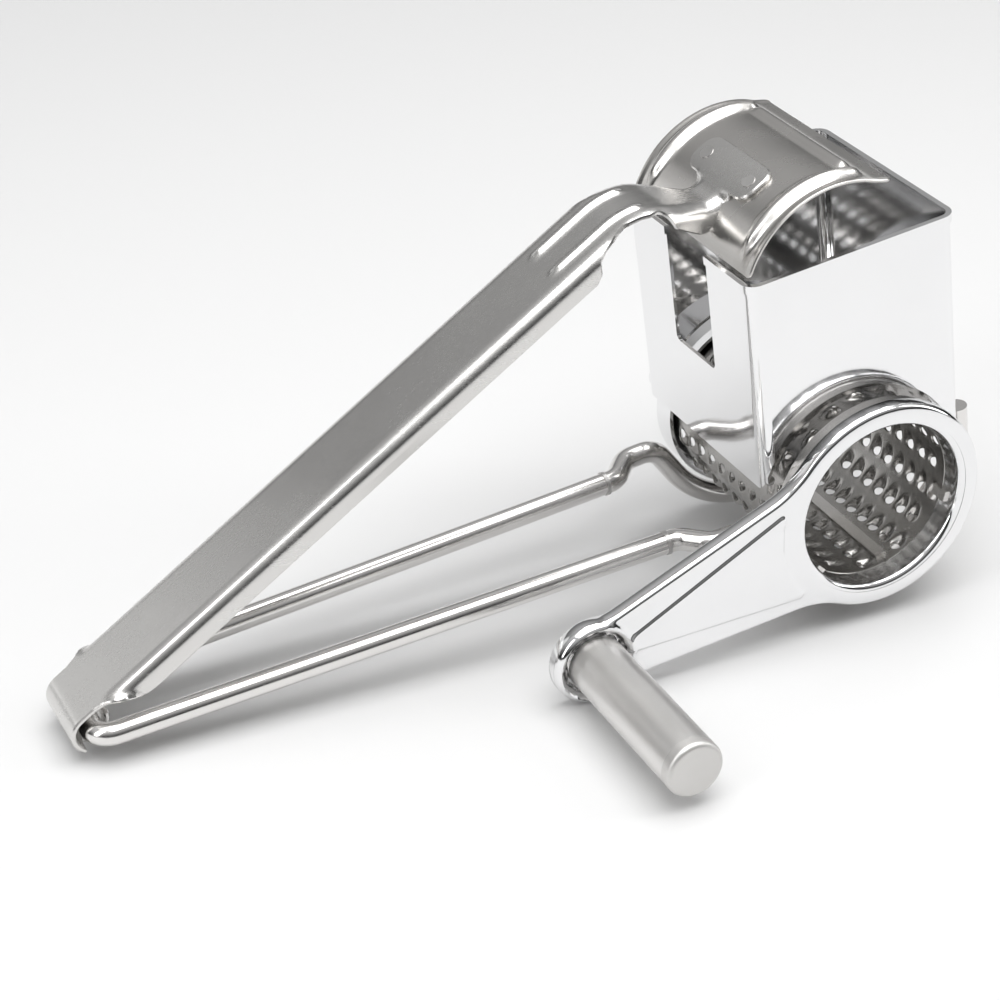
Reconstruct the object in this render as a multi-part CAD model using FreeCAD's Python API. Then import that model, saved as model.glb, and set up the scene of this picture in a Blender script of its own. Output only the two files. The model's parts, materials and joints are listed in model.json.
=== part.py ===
import FreeCAD, Part
import math
import os

from FreeCAD import Vector

os.makedirs("parts", exist_ok=True)

# Rotary cheese grater, stainless steel sheet and wire.  All sizes in millimetres.
#
# Working frame: the drum turns about the Y axis.  The crank plate's front face is at y = 0 and the
# far side of the hopper is towards +Y.  X runs from the handle's hinge to the hopper, and Z runs up
# along the hopper walls.  The last step leans the whole tool until it stands on a table.

# ---------------------------------------------------------------- sheet and wire
HOPPER_SHEET = 0.8
LEVER_SHEET = 1.2
CRANK_SHEET = 0.9
COLLAR_SHEET = 0.8
DRUM_SHEET = 0.5
PLATE_SHEET = 0.8
WIRE_R = 2.6

# ---------------------------------------------------------------- clearances
CRADLE_GAP = 0.8        # drum's end band to the cradle wires
ARCH_GAP = 1.2          # crank collar to the arch in the hopper walls
HINGE_GAP = 1.2         # curl to the crossbar, a loose hooked hinge
PLATE_GAP = 0.7         # press plate to the hopper walls, each side
SLOT_GAP = 0.8          # lever neck to the sides of the hopper slot
KNOB_END_GAP = 0.3      # knob's ends to the washer and the retainer
PIN_CLEARANCE = 0.05    # knob bushes on their pin, radial

# ---------------------------------------------------------------- drum
DRUM_R = 20.5
DRUM_START = 5.9
DRUM_SETBACK = 0.6              # drum's far end, short of the hopper's outer face
TOOTH_ROWS = 17
TOOTH_ROW_PITCH = 20.8          # degrees
TOOTH_PITCH = 4.6
TOOTH_FIRST = 2.8               # first tooth of a row, past the start of the drum
TOOTH_HOLE_R = 1.25
TOOTH_HEIGHT = 1.0
SEAM_ANGLE = 92.0               # from the crank arm
SEAM_WIDTH = 8.0                # degrees
SEAM_THICK = 1.0
BAND_RISE = 1.8
BAND_WIDTH = 6.4
TAB_COUNT = 3
TAB_ANGLE = 7.0
TAB_LENGTH = 4.6
TAB_THICK = 0.7

# ---------------------------------------------------------------- crank
CRANK_LENGTH = 74.9
COLLAR_RISE = 3.9               # collar's radius beyond the drum's
COLLAR_START = 1.2
CRANK_RIM_DEPTH = 3.6
BOSS_R = 10.0
BOSS_BEAD_R = 1.0
CRANK_REST = 15.6               # degrees below level, the tool standing on a table
ARM_HALF_AT_BOSS = 7.6
ARM_HALF_AT_RING = 15.6
ARM_ROOT_X = 23.0
ARM_ROOT_FILLET = 22.0
BOSS_FILLET = 8.0
DISH_R = 7.8
DISH_DEPTH = 2.0
PANEL_RAISE = 0.4
PANEL_TIP_HALF = 1.6
PANEL_ROOT_HALF = 10.4
PANEL_TIP_X = 66.5
PANEL_MARGIN = 1.0

# ---------------------------------------------------------------- knob
KNOB_R = 6.6
KNOB_REACH = 43.0               # knob's end, in front of the crank plate
KNOB_WALL = 0.8
CAP_THICK = 3.0
CAP_SPIGOT = 2.0
CAP_EDGE = 1.2
PIN_R = 2.5
PIN_HEAD_R = 4.2
PIN_HEAD_THICK = 1.2
WASHER_R = 6.0
WASHER_THICK = 1.2
BUSH_LENGTH = 4.0
RETAINER_THICK = 1.6
RETAINER_SETBACK = 4.0          # retainer's outer face behind the cap's spigot

# ---------------------------------------------------------------- hopper
HOPPER_SHOULDER = 0.3           # hopper's half width beyond the arch
HOPPER_DEPTH = 53.9
HOPPER_OFFSET_X = 1.7
HOPPER_START_Y = 9.9
HOPPER_RIM_Z = 60.5
HOPPER_SKIRT_Z = 7.0
HOPPER_BACK_SKIRT_Z = -2.0
HOPPER_CORNER_R = 3.0
HEM_HEIGHT = 2.0
HEM_THICK = 0.45
ARCH_LIP = 3.8
SLOT_BOTTOM_Z = 31.5
SLOT_CORNER_R = 1.5

# ---------------------------------------------------------------- handle
HINGE_X = -178.0
HINGE_Z = 1.4
LEG_HALF_AT_HINGE = 11.0
JOG_STEP = 6.35                 # from a leg's end out to its cradle wire
CROSSBAR_BEND_R = 4.5
JOG_X = -44.0
JOG_Z = -3.6
CREST_X = -29.0
CREST_Z = -3.9
CRADLE_INSET = 6.0              # cradle wires' centres, inside the hopper's ends
CRADLE_ENTRY = 209.0            # degrees round the drum, 270 is underneath
CRADLE_EXIT = 315.0
WIRE_END_Z = 7.0
SEAM_BEAD_R = 0.25
SEAM_BEAD_WIDTH = 0.8

# ---------------------------------------------------------------- lever
LEVER_WIDTH = 21.6
LEVER_DEPTH = 5.8
LEVER_CORNER_R = 3.0
CURL_WIDTH = 18.0
TONGUE_WIDTH = 9.0
CURL_TURN = 250.0
CURL_FULL_TURN = 118.0
CHANNEL_START = 20.0
CHANNEL_SETBACK = 16.4          # channel's end, short of the neck's peak
TAPER_LENGTH = 7.0
NECK_WIDTH = 15.5
NECK_PEAK_X = -38.2
NECK_PEAK_Z = 76.0
NECK_PEAK_R = 18.0
NECK_DIP_R = 5.6
NECK_DESCENT = 20.0             # degrees
NECK_FLANK = 4.5
FOOT_WIDTH = 24.6
FOOT_LENGTH = 10.0
FOOT_ANGLE = 116.8              # middle of the foot, round the press plate's arch
FOOT_CORNER_R = 3.6
WELD_R = 1.6
WELD_RAISE = 0.15
WELD_HALF_PITCH = 8.8

# ---------------------------------------------------------------- press plate
PLATE_ARCH_RISE = 3.5           # plate's radius beyond the drum's
PLATE_ARCH_X = -0.9
PLATE_CROWN_DROP = 0.0          # plate's crown below the neck's peak
PLATE_ARCH_START = 157.0        # degrees
PLATE_ARCH_END = 65.0
PLATE_LIP_FLARE = 10.0
PLATE_LIP_R = 5.0
PLATE_LIP = 3.4
RIB_R = 2.4
RIB_SINK = 0.9
RIB_INSET = 4.4
RIB_START = 150.0
RIB_END = 78.0
CROSS_RIB_ANGLE = 70.0
CROSS_RIB_MARGIN = 9.5

# ---------------------------------------------------------------- values that follow from those
Y_AXIS = Vector(0, 1, 0)
ORIGIN = Vector(0, 0, 0)
DRUM_BORE_R = DRUM_R - DRUM_SHEET
BAND_R = DRUM_R + BAND_RISE
COLLAR_R = DRUM_R + COLLAR_RISE
RING_R = COLLAR_R + CRANK_SHEET
ARCH_R = COLLAR_R + ARCH_GAP
CRADLE_R = BAND_R + CRADLE_GAP + WIRE_R
HOPPER_WIDTH = 2 * (ARCH_R + HOPPER_SHOULDER)
HOPPER_END_Y = HOPPER_START_Y + HOPPER_DEPTH
DRUM_END = HOPPER_END_Y - DRUM_SETBACK
TOOTH_SPAN = DRUM_END - BAND_WIDTH - DRUM_START - TOOTH_FIRST - TOOTH_HOLE_R
TOOTH_COLUMNS = 1 + int(TOOTH_SPAN / TOOTH_PITCH)
HOPPER_X0 = HOPPER_OFFSET_X - HOPPER_WIDTH / 2
HOPPER_X1 = HOPPER_OFFSET_X + HOPPER_WIDTH / 2
MID_Y = HOPPER_START_Y + HOPPER_DEPTH / 2
SLOT_HALF = NECK_WIDTH / 2 + SLOT_GAP
WIRE_END_X = HOPPER_X1 + WIRE_R
CURL_MID_R = WIRE_R + HINGE_GAP + LEVER_SHEET / 2
CURL_R = CURL_MID_R + LEVER_SHEET / 2
PLATE_WIDTH = HOPPER_DEPTH - 2 * HOPPER_SHEET - 2 * PLATE_GAP
PLATE_ARCH_R = DRUM_R + PLATE_ARCH_RISE
PLATE_ARCH_Z = NECK_PEAK_Z - PLATE_CROWN_DROP - PLATE_ARCH_R
LEG_HALF_AT_JOG = HOPPER_DEPTH / 2 - CRADLE_INSET - JOG_STEP
PEAK_RISE = math.atan2(NECK_PEAK_Z - HINGE_Z, NECK_PEAK_X - HINGE_X)
PEAK_DISTANCE = math.hypot(NECK_PEAK_Z - HINGE_Z, NECK_PEAK_X - HINGE_X)
LEVER_ANGLE = math.degrees(PEAK_RISE - math.asin(CURL_MID_R / PEAK_DISTANCE))
CHANNEL_END = math.sqrt(PEAK_DISTANCE**2 - CURL_MID_R**2) - CHANNEL_SETBACK
HINGE = Vector(HINGE_X, MID_Y, HINGE_Z)


# ---------------------------------------------------------------- small helpers
def direction(degrees):
    """Unit vector in the XZ plane, turned from +X towards +Z."""
    a = math.radians(degrees)
    return Vector(math.cos(a), 0, math.sin(a))


def tube(r_out, r_in, y0, y1, centre=ORIGIN):
    """Ring, or a plain disc when r_in is 0, around an axis along Y."""
    base = Vector(centre.x, y0, centre.z)
    solid = Part.makeCylinder(r_out, y1 - y0, base, Y_AXIS)
    if r_in > 0:
        solid = solid.cut(Part.makeCylinder(r_in, y1 - y0, base, Y_AXIS))
    return solid


def ring_sector(r_out, r_in, y0, y1, middle, span):
    """Part of a tube around the drum axis, span degrees wide about the angle middle."""
    corners = [Vector(r_in, y0, 0), Vector(r_out, y0, 0), Vector(r_out, y1, 0), Vector(r_in, y1, 0)]
    face = Part.Face(Part.makePolygon(corners + corners[:1]))
    face.rotate(ORIGIN, Y_AXIS, -(middle - span / 2))
    return face.revolve(ORIGIN, Y_AXIS, -span)


def extrude_y(wire, y0, y1):
    """Solid between two Y planes from a closed wire drawn at y = 0."""
    face = Part.Face(wire)
    face.translate(Vector(0, y0, 0))
    return face.extrude(Vector(0, y1 - y0, 0))


def corner_arc(before, corner, after, radius):
    """Start, middle and end of the arc that rounds a corner between two straight runs."""
    into = (before - corner).normalize()
    out = (after - corner).normalize()
    half = into.getAngle(out) / 2
    reach = radius / math.tan(half)
    start = corner + into * reach
    end = corner + out * reach
    bisector = (into + out).normalize()
    middle = corner + bisector * (radius / math.sin(half) - radius)
    return start, middle, end


def bent_edges(points, radii):
    """Edges of a path through the points, its inner corners rounded by the radii."""
    edges = []
    here = points[0]
    for i, radius in enumerate(radii, start=1):
        start, middle, end = corner_arc(points[i - 1], points[i], points[i + 1], radius)
        if (start - here).Length > 1e-6:
            edges.append(Part.LineSegment(here, start).toShape())
        edges.append(Part.Arc(start, middle, end).toShape())
        here = end
    edges.append(Part.LineSegment(here, points[-1]).toShape())
    return edges


def rounded_outline(corners):
    """Closed wire from (point, radius) corners, every corner rounded."""
    edges = []
    arcs = []
    count = len(corners)
    for i, (point, radius) in enumerate(corners):
        before = corners[i - 1][0]
        after = corners[(i + 1) % count][0]
        arcs.append(corner_arc(before, point, after, radius))
    for i, (start, middle, end) in enumerate(arcs):
        edges.append(Part.Arc(start, middle, end).toShape())
        edges.append(Part.LineSegment(end, arcs[(i + 1) % count][0]).toShape())
    return Part.Wire(edges)


def bent_wire(points, radii):
    """Round wire bent along a path, square cut at both ends."""
    path = Part.Wire(bent_edges(points, radii))
    run = points[1] - points[0]
    circle = Part.makeCircle(WIRE_R, points[0], run)
    return path.makePipeShell([Part.Wire([circle])], True, False)


def sheet_section(start, heading, moves, thick):
    """Outline in the XZ plane of a bent sheet.

    The moves follow the middle of the sheet: ("run", length) or ("bend", degrees, radius).
    Returns the closed wire, the end point and the end heading.
    """
    sides = {1: [], -1: []}
    here = start
    for move in moves:
        normal = direction(heading + 90)
        if move[0] == "run":
            there = here + direction(heading) * move[1]
            for side, edges in sides.items():
                shift = normal * (side * thick / 2)
                edges.append(Part.LineSegment(here + shift, there + shift).toShape())
        else:
            turn, radius = move[1], move[2]
            way = math.copysign(1, turn)
            centre = here + normal * (way * radius)
            for side, edges in sides.items():
                r = radius - way * side * thick / 2
                ends = [centre - direction(heading + 90 + turn * t) * (way * r) for t in (0, 0.5, 1)]
                edges.append(Part.Arc(*ends).toShape())
            heading += turn
            there = centre - direction(heading + 90) * (way * radius)
        here = there
    caps = []
    for i in (0, -1):
        ends = [edges[i].Vertexes[i].Point for edges in sides.values()]
        caps.append(Part.LineSegment(*ends).toShape())
    wire = Part.Wire(Part.__sortEdges__(sides[1] + sides[-1] + caps))
    return wire, here, heading


def bent_sheet(start, heading, moves, thick, width):
    """Solid bent sheet of a width along Y, centred on the middle plane, with its end and heading."""
    wire, end, heading = sheet_section(start, heading, moves, thick)
    return extrude_y(wire, MID_Y - width / 2, MID_Y + width / 2), end, heading


# ---------------------------------------------------------------- hopper
def rounded_prism(inset, z0, z1):
    """Block with the hopper's plan, its sides moved in by the inset."""
    size_x = HOPPER_WIDTH - 2 * inset
    size_y = HOPPER_DEPTH - 2 * inset
    corner = Vector(HOPPER_X0 + inset, HOPPER_START_Y + inset, z0)
    block = Part.makeBox(size_x, size_y, z1 - z0, corner)
    upright = [e for e in block.Edges if abs(e.tangentAt(e.FirstParameter).z) > 0.99]
    return block.makeFillet(HOPPER_CORNER_R - inset, upright)


def hopper_shell():
    """Four folded walls with a hemmed rim, arches over the drum and the lever's slot."""
    body = rounded_prism(0, HOPPER_BACK_SKIRT_Z, HOPPER_RIM_Z)
    hem = rounded_prism(-HEM_THICK, HOPPER_RIM_Z - HEM_HEIGHT, HOPPER_RIM_Z)
    body = body.fuse(hem)
    body = body.cut(rounded_prism(HOPPER_SHEET, HOPPER_BACK_SKIRT_Z - 1, HOPPER_RIM_Z + 1))
    drop = HOPPER_SKIRT_Z - HOPPER_BACK_SKIRT_Z
    skirt_x = HOPPER_WIDTH - HOPPER_CORNER_R
    below = Vector(HOPPER_X0 - 1, HOPPER_START_Y - 1, HOPPER_BACK_SKIRT_Z - 1)
    body = body.cut(Part.makeBox(skirt_x + 1, HOPPER_DEPTH + 2, drop + 1, below))
    body = body.cut(tube(ARCH_R, 0, HOPPER_START_Y - 1, HOPPER_END_Y + 1))
    body = body.fuse([arch_lip(HOPPER_START_Y, 1), arch_lip(HOPPER_END_Y, -1)])
    return body.cut(lever_slot()).removeSplitter()


def arch_lip(wall_y, inward):
    """Flange turned into the hopper along the arch of one wall."""
    far_y = wall_y + inward * (HOPPER_SHEET + ARCH_LIP)
    ring = tube(ARCH_R + HOPPER_SHEET, ARCH_R, min(wall_y, far_y), max(wall_y, far_y))
    inner_x = HOPPER_WIDTH - 2 * HOPPER_SHEET
    low = Vector(HOPPER_X0 + HOPPER_SHEET, min(wall_y, far_y), HOPPER_SKIRT_Z)
    return ring.common(Part.makeBox(inner_x, HOPPER_SHEET + ARCH_LIP, HOPPER_RIM_Z, low))


def lever_slot():
    """Slot in the wall that faces the handle, open at the rim, for the lever's neck."""
    top = HOPPER_RIM_Z + 1
    x = HOPPER_X0 - 1
    block = Part.makeBox(
        HOPPER_CORNER_R, 2 * SLOT_HALF, top - SLOT_BOTTOM_Z, Vector(x, MID_Y - SLOT_HALF, SLOT_BOTTOM_Z)
    )
    low = [e for e in block.Edges if e.BoundBox.XLength > 1 and e.BoundBox.ZMax < SLOT_BOTTOM_Z + 1]
    return block.makeFillet(SLOT_CORNER_R, low)


# ---------------------------------------------------------------- wire handle
def handle_crossbar():
    """Hinge end of the handle: a straight bar with a bend at each end."""
    tip = direction(math.degrees(math.atan2(JOG_Z - HINGE_Z, JOG_X - HINGE_X)))
    reach = CROSSBAR_BEND_R * 1.6
    near = HINGE + Vector(0, -LEG_HALF_AT_HINGE, 0)
    far = HINGE + Vector(0, LEG_HALF_AT_HINGE, 0)
    points = [leg_point(-1, reach), near, far, leg_point(1, reach)]
    return bent_wire(points, [CROSSBAR_BEND_R, CROSSBAR_BEND_R])


def leg_point(side, distance):
    """Point on a leg's centre line, a distance from its corner with the crossbar."""
    start = HINGE + Vector(0, side * LEG_HALF_AT_HINGE, 0)
    return start + leg_direction(side) * distance


def leg_direction(side):
    """Direction of a leg from the crossbar towards the hopper."""
    start = HINGE + Vector(0, side * LEG_HALF_AT_HINGE, 0)
    end = Vector(JOG_X, MID_Y + side * LEG_HALF_AT_JOG, JOG_Z)
    return (end - start).normalize()


def handle_leg(side):
    """Straight leg between the crossbar's bend and the cradle wire's weld."""
    start = leg_point(side, CROSSBAR_BEND_R * 1.6)
    end = Vector(JOG_X, MID_Y + side * LEG_HALF_AT_JOG, JOG_Z)
    return Part.makeCylinder(WIRE_R, (end - start).Length, start, leg_direction(side))


def cradle_y(side):
    """Y of a cradle wire's plane."""
    return MID_Y + side * (HOPPER_DEPTH / 2 - CRADLE_INSET)


def cradle_wire(side):
    """Wire that jogs out, dips under the drum and rises to the hopper's back wall."""
    y = cradle_y(side)
    step = (CRADLE_EXIT - CRADLE_ENTRY) / 4
    corner_r = CRADLE_R / math.cos(math.radians(step))
    lift = Vector(0, y, 0)
    first = direction(CRADLE_ENTRY + step) * corner_r + lift
    second = direction(CRADLE_EXIT - step) * corner_r + lift
    leaving = direction(CRADLE_EXIT) * CRADLE_R + lift
    rise = direction(CRADLE_EXIT + 90)
    turn = leaving + rise * ((WIRE_END_X - leaving.x) / rise.x)
    jog = Vector(JOG_X, MID_Y + side * LEG_HALF_AT_JOG, JOG_Z)
    entry = direction(CRADLE_ENTRY) * CRADLE_R + lift
    fall = direction(CRADLE_ENTRY + 90)
    crest = entry - fall * ((CREST_Z - entry.z) / -fall.z)
    shoulder = jog + leg_direction(side) * 3.0
    points = [
        jog,
        shoulder,
        Vector(crest.x - 8.0, y, CREST_Z),
        crest,
        first,
        second,
        turn,
        Vector(WIRE_END_X, y, WIRE_END_Z),
    ]
    return bent_wire(points, [5.0, 5.0, 6.0, CRADLE_R, CRADLE_R, 8.0])


def wire_seam(side):
    """Raised ring left by the butt weld between a leg and its cradle wire."""
    centre = Vector(JOG_X, MID_Y + side * LEG_HALF_AT_JOG, JOG_Z)
    along = leg_direction(side)
    base = centre - along * (SEAM_BEAD_WIDTH / 2)
    outer = Part.makeCylinder(WIRE_R + SEAM_BEAD_R, SEAM_BEAD_WIDTH, base, along)
    return outer.cut(Part.makeCylinder(WIRE_R, SEAM_BEAD_WIDTH, base, along))


# ---------------------------------------------------------------- crank
def arm_fillet(centre, radius, fillet, inset):
    """Fillet between a circle at the centre and the arm's upper edge: tangent points and middle."""
    rise = (ARM_HALF_AT_RING - ARM_HALF_AT_BOSS) / (CRANK_LENGTH - ARM_ROOT_X)
    along = Vector(1, 0, rise).normalize()
    normal = Vector(-along.z, 0, along.x)
    start = Vector(-CRANK_LENGTH, 0, ARM_HALF_AT_BOSS) - normal * inset
    offset = start + normal * fillet - centre
    b = offset.dot(along)
    root = math.sqrt(b * b - offset.Length**2 + (radius + fillet) ** 2)
    distance = -b - root if centre.x == 0 else -b + root
    on_line = start + along * distance
    middle = on_line + normal * fillet
    to_circle = (centre - middle).normalize()
    on_circle = middle + to_circle * fillet
    to_line = (on_line - middle).normalize()
    bottom = middle + (to_line + to_circle).normalize() * fillet
    return on_line, bottom, on_circle


def mirrored(point):
    """The same point on the other side of the arm."""
    return Vector(point.x, point.y, -point.z)


def crank_outline(inset):
    """Ring, arm and boss in one closed wire, moved in by the inset."""
    boss = Vector(-CRANK_LENGTH, 0, 0)
    ring_r = RING_R - inset
    boss_r = BOSS_R - inset
    root = arm_fillet(ORIGIN, ring_r, ARM_ROOT_FILLET + inset, inset)
    neck = arm_fillet(boss, boss_r, BOSS_FILLET + inset, inset)
    edges = [
        Part.Arc(root[2], Vector(ring_r, 0, 0), mirrored(root[2])),
        Part.Arc(mirrored(root[2]), mirrored(root[1]), mirrored(root[0])),
        Part.LineSegment(mirrored(root[0]), mirrored(neck[0])),
        Part.Arc(mirrored(neck[0]), mirrored(neck[1]), mirrored(neck[2])),
        Part.Arc(mirrored(neck[2]), boss - Vector(boss_r, 0, 0), neck[2]),
        Part.Arc(neck[2], neck[1], neck[0]),
        Part.LineSegment(neck[0], root[0]),
        Part.Arc(root[0], root[1], root[2]),
    ]
    return Part.Wire([e.toShape() for e in edges])


def arm_panel():
    """Raised three-cornered panel on the arm, hollow side towards the ring."""
    edge_r = RING_R + PANEL_MARGIN
    lean = math.asin(PANEL_ROOT_HALF / edge_r)
    top = Vector(-edge_r * math.cos(lean), 0, PANEL_ROOT_HALF)
    tip = Vector(-PANEL_TIP_X, 0, PANEL_TIP_HALF)
    tip_end = Vector(-PANEL_TIP_X - PANEL_TIP_HALF, 0, 0)
    edges = [
        Part.Arc(top, Vector(-edge_r, 0, 0), mirrored(top)),
        Part.LineSegment(mirrored(top), mirrored(tip)),
        Part.Arc(mirrored(tip), tip_end, tip),
        Part.LineSegment(tip, top),
    ]
    return extrude_y(Part.Wire([e.toShape() for e in edges]), -PANEL_RAISE, CRANK_SHEET / 2)


def front_edges(solid, far_from_centre):
    """Edges of a solid's front face that lie beyond a distance from the drum axis."""
    found = []
    for edge in solid.Edges:
        box = edge.BoundBox
        if abs(box.YMin) < 1e-6 and abs(box.YMax) < 1e-6:
            middle = edge.valueAt((edge.FirstParameter + edge.LastParameter) / 2)
            if math.hypot(middle.x, middle.z) > far_from_centre:
                found.append(edge)
    return found


def crank_plate():
    """Stamped plate with a turned-back rim, the drum's mouth and the knob's dish."""
    boss = Vector(-CRANK_LENGTH, 0, 0)
    plate = extrude_y(crank_outline(0), 0, CRANK_RIM_DEPTH)
    plate = plate.makeFillet(CRANK_SHEET * 0.9, front_edges(plate, DRUM_BORE_R))
    plate = plate.cut(extrude_y(crank_outline(CRANK_SHEET), CRANK_SHEET, CRANK_RIM_DEPTH + 1))
    bead = Part.makeTorus(BOSS_R - BOSS_BEAD_R, BOSS_BEAD_R, boss + Vector(0, BOSS_BEAD_R / 4, 0), Y_AXIS)
    plate = plate.fuse([arm_panel(), bead])
    lip = tube(DRUM_BORE_R + COLLAR_SHEET, 0, 0, DRUM_START)
    dish = tube(DISH_R + COLLAR_SHEET, 0, 0, DISH_DEPTH + CRANK_SHEET, boss)
    plate = plate.fuse([lip, dish])
    plate = plate.cut(tube(DISH_R, 0, -1, DISH_DEPTH, boss))
    plate = plate.cut(tube(PIN_R, 0, 0, CRANK_RIM_DEPTH, boss))
    plate = plate.cut(tube(DRUM_BORE_R, 0, -1, DRUM_START + 1)).removeSplitter()
    mouth = [
        e
        for e in plate.Edges
        if abs(e.BoundBox.YMax) < 1e-6 and abs(e.Length - 2 * math.pi * DRUM_BORE_R) < 1e-3
    ]
    return plate.makeFillet(COLLAR_SHEET * 0.8, mouth)


def crank_collar():
    """Drawn ring behind the crank plate that turns in the hopper's arch."""
    outer = tube(COLLAR_R, COLLAR_R - COLLAR_SHEET, COLLAR_START, DRUM_START)
    web = tube(COLLAR_R, DRUM_R, DRUM_START, DRUM_START + COLLAR_SHEET)
    return outer.fuse(web).removeSplitter()


# ---------------------------------------------------------------- drum
def tooth_places():
    """Angle and Y of every tooth, every second row staggered and one tooth shorter."""
    middle = 180 + SEAM_ANGLE + 180
    first = middle - TOOTH_ROW_PITCH * (TOOTH_ROWS - 1) / 2
    places = []
    for row in range(TOOTH_ROWS):
        stagger = row % 2
        for column in range(TOOTH_COLUMNS - stagger):
            y = DRUM_START + TOOTH_FIRST + (column + stagger / 2) * TOOTH_PITCH
            places.append((first + row * TOOTH_ROW_PITCH, y))
    return places


def tooth_lip():
    """Crescent that stands up behind a hole, made at the top of the drum at y = 0."""
    low = DRUM_R - DRUM_SHEET / 2
    height = DRUM_R + TOOTH_HEIGHT - low
    ring = Part.makeCylinder(TOOTH_HOLE_R + DRUM_SHEET, height, Vector(0, 0, low))
    wedge_face = Part.makePolygon(
        [
            Vector(-4, -4, DRUM_R - 0.1),
            Vector(-4, -4, DRUM_R + 4),
            Vector(TOOTH_HOLE_R + DRUM_SHEET, -4, DRUM_R + 4),
            Vector(-4, -4, DRUM_R - 0.1),
        ]
    )
    wedge = Part.Face(wedge_face).extrude(Vector(0, 8, 0))
    return ring.cut(wedge)


def drum_shell():
    """Rolled sheet drum with rows of punched, raised teeth."""
    shell = tube(DRUM_R, DRUM_BORE_R, DRUM_START, DRUM_END)
    lip = tooth_lip()
    hole = Part.makeCylinder(TOOTH_HOLE_R, 4, Vector(0, 0, DRUM_R - 2))
    lips = []
    holes = []
    for angle, y in tooth_places():
        for pattern, copies in ((lip, lips), (hole, holes)):
            copy = pattern.copy()
            copy.rotate(ORIGIN, Y_AXIS, 90 - angle)
            copy.translate(Vector(0, y, 0))
            copies.append(copy)
    return shell.fuse(lips).cut(holes)


def drum_seam_strip():
    """Strip that covers the drum's seam on the inside."""
    start = DRUM_START + 2
    end = DRUM_END - BAND_WIDTH
    middle = 180 + SEAM_ANGLE
    return ring_sector(DRUM_BORE_R, DRUM_BORE_R - SEAM_THICK, start, end, middle, SEAM_WIDTH)


def drum_end_band():
    """Rolled band round the drum's far end, which runs above the cradle wire."""
    start = DRUM_END + COLLAR_SHEET - BAND_WIDTH
    skin = tube(BAND_R, BAND_R - COLLAR_SHEET, start, DRUM_END + COLLAR_SHEET)
    web = tube(BAND_R, DRUM_BORE_R, DRUM_END, DRUM_END + COLLAR_SHEET)
    return skin.fuse(web).removeSplitter()


def drum_fixing_tabs():
    """Tabs that lock the drum to the crank plate's mouth."""
    tabs = []
    start = DRUM_START - TAB_LENGTH / 2
    for i in range(TAB_COUNT):
        angle = 180 + SEAM_ANGLE + 60 + i * 360 / TAB_COUNT
        outer = DRUM_BORE_R
        tabs.append(ring_sector(outer, outer - TAB_THICK, start, start + TAB_LENGTH, angle, TAB_ANGLE))
    return Part.makeCompound(tabs)


# ---------------------------------------------------------------- knob
BOSS = Vector(-CRANK_LENGTH, 0, 0)
WASHER_TOP = DISH_DEPTH - WASHER_THICK
SLEEVE_START = WASHER_TOP - KNOB_END_GAP
SLEEVE_END = -(KNOB_REACH - CAP_THICK)
RETAINER_FRONT = SLEEVE_END + CAP_SPIGOT + RETAINER_SETBACK


def knob_pin():
    """Riveted pin through the boss."""
    shaft = tube(PIN_R, 0, RETAINER_FRONT, DISH_DEPTH + CRANK_SHEET, BOSS)
    base = DISH_DEPTH + CRANK_SHEET
    head = tube(PIN_HEAD_R, 0, base, base + PIN_HEAD_THICK, BOSS)
    return shaft.fuse(head).removeSplitter()


def knob_washer():
    """Polished washer between the boss and the knob."""
    return tube(WASHER_R, PIN_R, WASHER_TOP, DISH_DEPTH, BOSS)


def knob_retainer():
    """Collar peened on the end of the pin, inside the knob."""
    return tube(PIN_HEAD_R, PIN_R, RETAINER_FRONT, RETAINER_FRONT + RETAINER_THICK, BOSS)


def knob_bush(start):
    """Bush pressed into the sleeve, running on the pin."""
    bore = PIN_R + PIN_CLEARANCE
    return tube(KNOB_R - KNOB_WALL, bore, start - BUSH_LENGTH, start, BOSS)


def knob_sleeve():
    """Tube that the hand holds."""
    return tube(KNOB_R, KNOB_R - KNOB_WALL, SLEEVE_END, SLEEVE_START, BOSS)


def knob_end_cap():
    """Cap pressed into the end of the sleeve, its edge rounded."""
    disc = tube(KNOB_R, 0, SLEEVE_END - CAP_THICK, SLEEVE_END, BOSS)
    rim = [e for e in disc.Edges if e.BoundBox.YMax < SLEEVE_END - CAP_THICK + 1e-6]
    disc = disc.makeFillet(CAP_EDGE, rim)
    spigot = tube(KNOB_R - KNOB_WALL, 0, SLEEVE_END, SLEEVE_END + CAP_SPIGOT, BOSS)
    return disc.fuse(spigot).removeSplitter()


# ---------------------------------------------------------------- lever
ARCH_CENTRE = Vector(PLATE_ARCH_X, MID_Y, PLATE_ARCH_Z)
FOOT_MID_R = PLATE_ARCH_R + LEVER_SHEET / 2


def lever_points():
    """Corner points of the lever's middle line, from the curl's tangent to the foot."""
    tangent = HINGE + direction(LEVER_ANGLE + 90) * CURL_MID_R
    along = direction(LEVER_ANGLE)
    peak = tangent + along * ((NECK_PEAK_X - tangent.x) / along.x)
    span = math.degrees(FOOT_LENGTH / FOOT_MID_R)
    foot_angle = FOOT_ANGLE + span / 2
    foot = ARCH_CENTRE + direction(foot_angle) * FOOT_MID_R
    back = direction(foot_angle - 90)
    down = direction(-NECK_DESCENT)
    gap = foot - peak
    cross = down.x * back.z - down.z * back.x
    run = (gap.x * back.z - gap.z * back.x) / cross
    dip = peak + down * run
    return tangent, peak, dip, foot, foot_angle, span


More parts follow.
